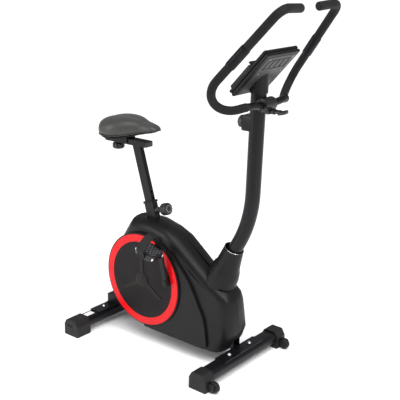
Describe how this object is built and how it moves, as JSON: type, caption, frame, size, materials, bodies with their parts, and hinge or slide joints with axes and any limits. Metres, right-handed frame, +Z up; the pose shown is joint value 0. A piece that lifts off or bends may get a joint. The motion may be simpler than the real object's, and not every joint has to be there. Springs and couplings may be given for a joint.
{
  "type": "exercise bike",
  "caption": "Upright magnetic exercise bike with cranks, strapped pedals, sliding saddle, tilting handlebar, console and transport wheels.",
  "frame": {"origin": "on the floor, at the middle of the outline's front-to-back and side-to-side extents", "axes": "+X the way the rider faces, +Y the rider's left, +Z up"},
  "size_m": [0.9916, 0.5, 1.3675],
  "materials": {
    "black_paint": "satin powder coat",
    "black_plastic": "fine moulded texture",
    "grey_plastic": "fine moulded texture",
    "red_plastic": "satin moulded",
    "black_foam": "closed-cell foam skin",
    "rubber": "moulded, matt",
    "steel": "plated",
    "cast_iron": "turned on the rim, painted web",
    "vinyl": "grained vinyl over foam",
    "screen": "clear window over a display"
  },
  "bodies": {
    "frame": {"main_frame": "black_paint", "front_stabilizer": "black_paint", "rear_stabilizer": "black_paint", "front_cap_left": "black_plastic", "front_cap_right": "black_plastic", "rear_cap_left": "black_plastic", "rear_cap_right": "black_plastic", "stabilizer_bolt_front_left": "steel", "stabilizer_bolt_front_right": "steel", "stabilizer_bolt_rear_left": "steel", "stabilizer_bolt_rear_right": "steel", "casing_left": "black_plastic", "casing_right": "black_plastic", "disc_cover_left": "black_plastic", "disc_cover_right": "black_plastic", "disc_ring_left": "red_plastic", "disc_ring_right": "red_plastic", "post_boot": "black_plastic", "handlebar_post": "black_paint", "clamp_cap": "black_plastic", "console_back": "grey_plastic", "console_front": "black_plastic", "console_screen": "screen", "bearing_left": "steel", "bearing_right": "steel", "seat_post_bush": "black_plastic", "flywheel_axle": "steel", "drive_belt": "rubber", "tension_housing": "black_plastic"},
    "seat_post": {"seat_post": "black_paint", "rail_cap_front": "black_plastic", "rail_cap_rear": "black_plastic"},
    "saddle": {"saddle_slider": "black_paint", "saddle_base": "black_plastic", "saddle_pad": "vinyl"},
    "saddle_knob": {"saddle_knob": "black_plastic"},
    "seat_knob": {"seat_knob": "black_plastic"},
    "crank_set": {"crank_axle": "steel", "crank_left": "black_paint", "crank_right": "black_paint", "drive_pulley": "black_plastic"},
    "pedal_left": {"pedal_left": "black_plastic", "strap_left": "rubber"},
    "pedal_right": {"pedal_right": "black_plastic", "strap_right": "rubber"},
    "flywheel": {"flywheel": "cast_iron"},
    "brake_yoke": {"brake_yoke": "black_paint"},
    "tension_knob": {"tension_knob": "black_plastic"},
    "handlebar": {"handlebar": "black_paint", "grip_left": "black_foam", "grip_right": "black_foam", "pulse_sensor_left": "steel", "pulse_sensor_right": "steel"},
    "clamp_knob": {"clamp_knob": "black_plastic"},
    "wheel_left": {"wheel_left": "rubber"},
    "wheel_right": {"wheel_right": "rubber"},
    "button_left": {"button_left": "grey_plastic"},
    "button_middle": {"button_middle": "grey_plastic"},
    "button_right": {"button_right": "grey_plastic"}
  },
  "joints": [
    {"name": "flywheel_spin", "type": "hinge", "parent": "frame", "child": "flywheel", "pos_m": [-0.207, 0, 0.264], "axis": [0, 1, 0], "continuous": true},
    {"name": "crank_spin", "type": "hinge", "parent": "frame", "child": "crank_set", "pos_m": [-0.067, 0, 0.293], "axis": [0, 1, 0], "continuous": true},
    {"name": "pedal_left_spin", "type": "hinge", "parent": "crank_set", "child": "pedal_left", "pos_m": [-0.04933, 0.112, 0.14908], "axis": [0, 1, 0], "continuous": true},
    {"name": "pedal_right_spin", "type": "hinge", "parent": "crank_set", "child": "pedal_right", "pos_m": [-0.08467, -0.112, 0.43692], "axis": [0, 1, 0], "continuous": true},
    {"name": "wheel_left_spin", "type": "hinge", "parent": "frame", "child": "wheel_left", "pos_m": [0.2765, 0.221, 0.0235], "axis": [0, 1, 0], "continuous": true},
    {"name": "wheel_right_spin", "type": "hinge", "parent": "frame", "child": "wheel_right", "pos_m": [0.2765, -0.221, 0.0235], "axis": [0, 1, 0], "continuous": true},
    {"name": "seat_height", "type": "slide", "parent": "frame", "child": "seat_post", "axis": [-0.274, 0, 0.9617], "range_m": [-0.05, 0.1]},
    {"name": "seat_knob_pull", "type": "slide", "parent": "frame", "child": "seat_knob", "axis": [0.9617, 0, 0.274], "range_m": [0, 0.008], "stiffness_N_per_m": 900},
    {"name": "seat_fore_aft", "type": "slide", "parent": "seat_post", "child": "saddle", "axis": [1, 0, 0], "range_m": [-0.02, 0.025]},
    {"name": "saddle_knob_turn", "type": "hinge", "parent": "saddle", "child": "saddle_knob", "pos_m": [-0.402, 0, 0.797], "axis": [0, 0, 1], "range_deg": [0, 540]},
    {"name": "handlebar_tilt", "type": "hinge", "parent": "frame", "child": "handlebar", "pos_m": [0.317, 0, 1.021], "axis": [0, 1, 0], "range_deg": [-12, 12]},
    {"name": "clamp_knob_turn", "type": "hinge", "parent": "frame", "child": "clamp_knob", "pos_m": [0.317, 0, 1.0005], "axis": [1, 0, 0], "range_deg": [0, 360]},
    {"name": "brake_yoke_swing", "type": "hinge", "parent": "frame", "child": "brake_yoke", "pos_m": [-0.33196, 0, 0.22817], "axis": [0, 1, 0], "range_deg": [-8, 0]},
    {"name": "tension_knob_turn", "type": "hinge", "parent": "frame", "child": "tension_knob", "pos_m": [0.28, 0, 0.95], "axis": [1, 0, 0], "range_deg": [0, 270]},
    {"name": "button_left_press", "type": "slide", "parent": "frame", "child": "button_left", "axis": [0.7218, 0, -0.6921], "range_m": [0, 0.0015], "stiffness_N_per_m": 700},
    {"name": "button_middle_press", "type": "slide", "parent": "frame", "child": "button_middle", "axis": [0.7218, 0, -0.6921], "range_m": [0, 0.0015], "stiffness_N_per_m": 700},
    {"name": "button_right_press", "type": "slide", "parent": "frame", "child": "button_right", "axis": [0.7218, 0, -0.6921], "range_m": [0, 0.0015], "stiffness_N_per_m": 700}
  ],
  "couplings": [
    {"joint": "crank_spin", "follows": "flywheel_spin", "ratio": 0.1596},
    {"joint": "tension_knob_turn", "follows": "brake_yoke_swing", "ratio": -33.75}
  ]
}
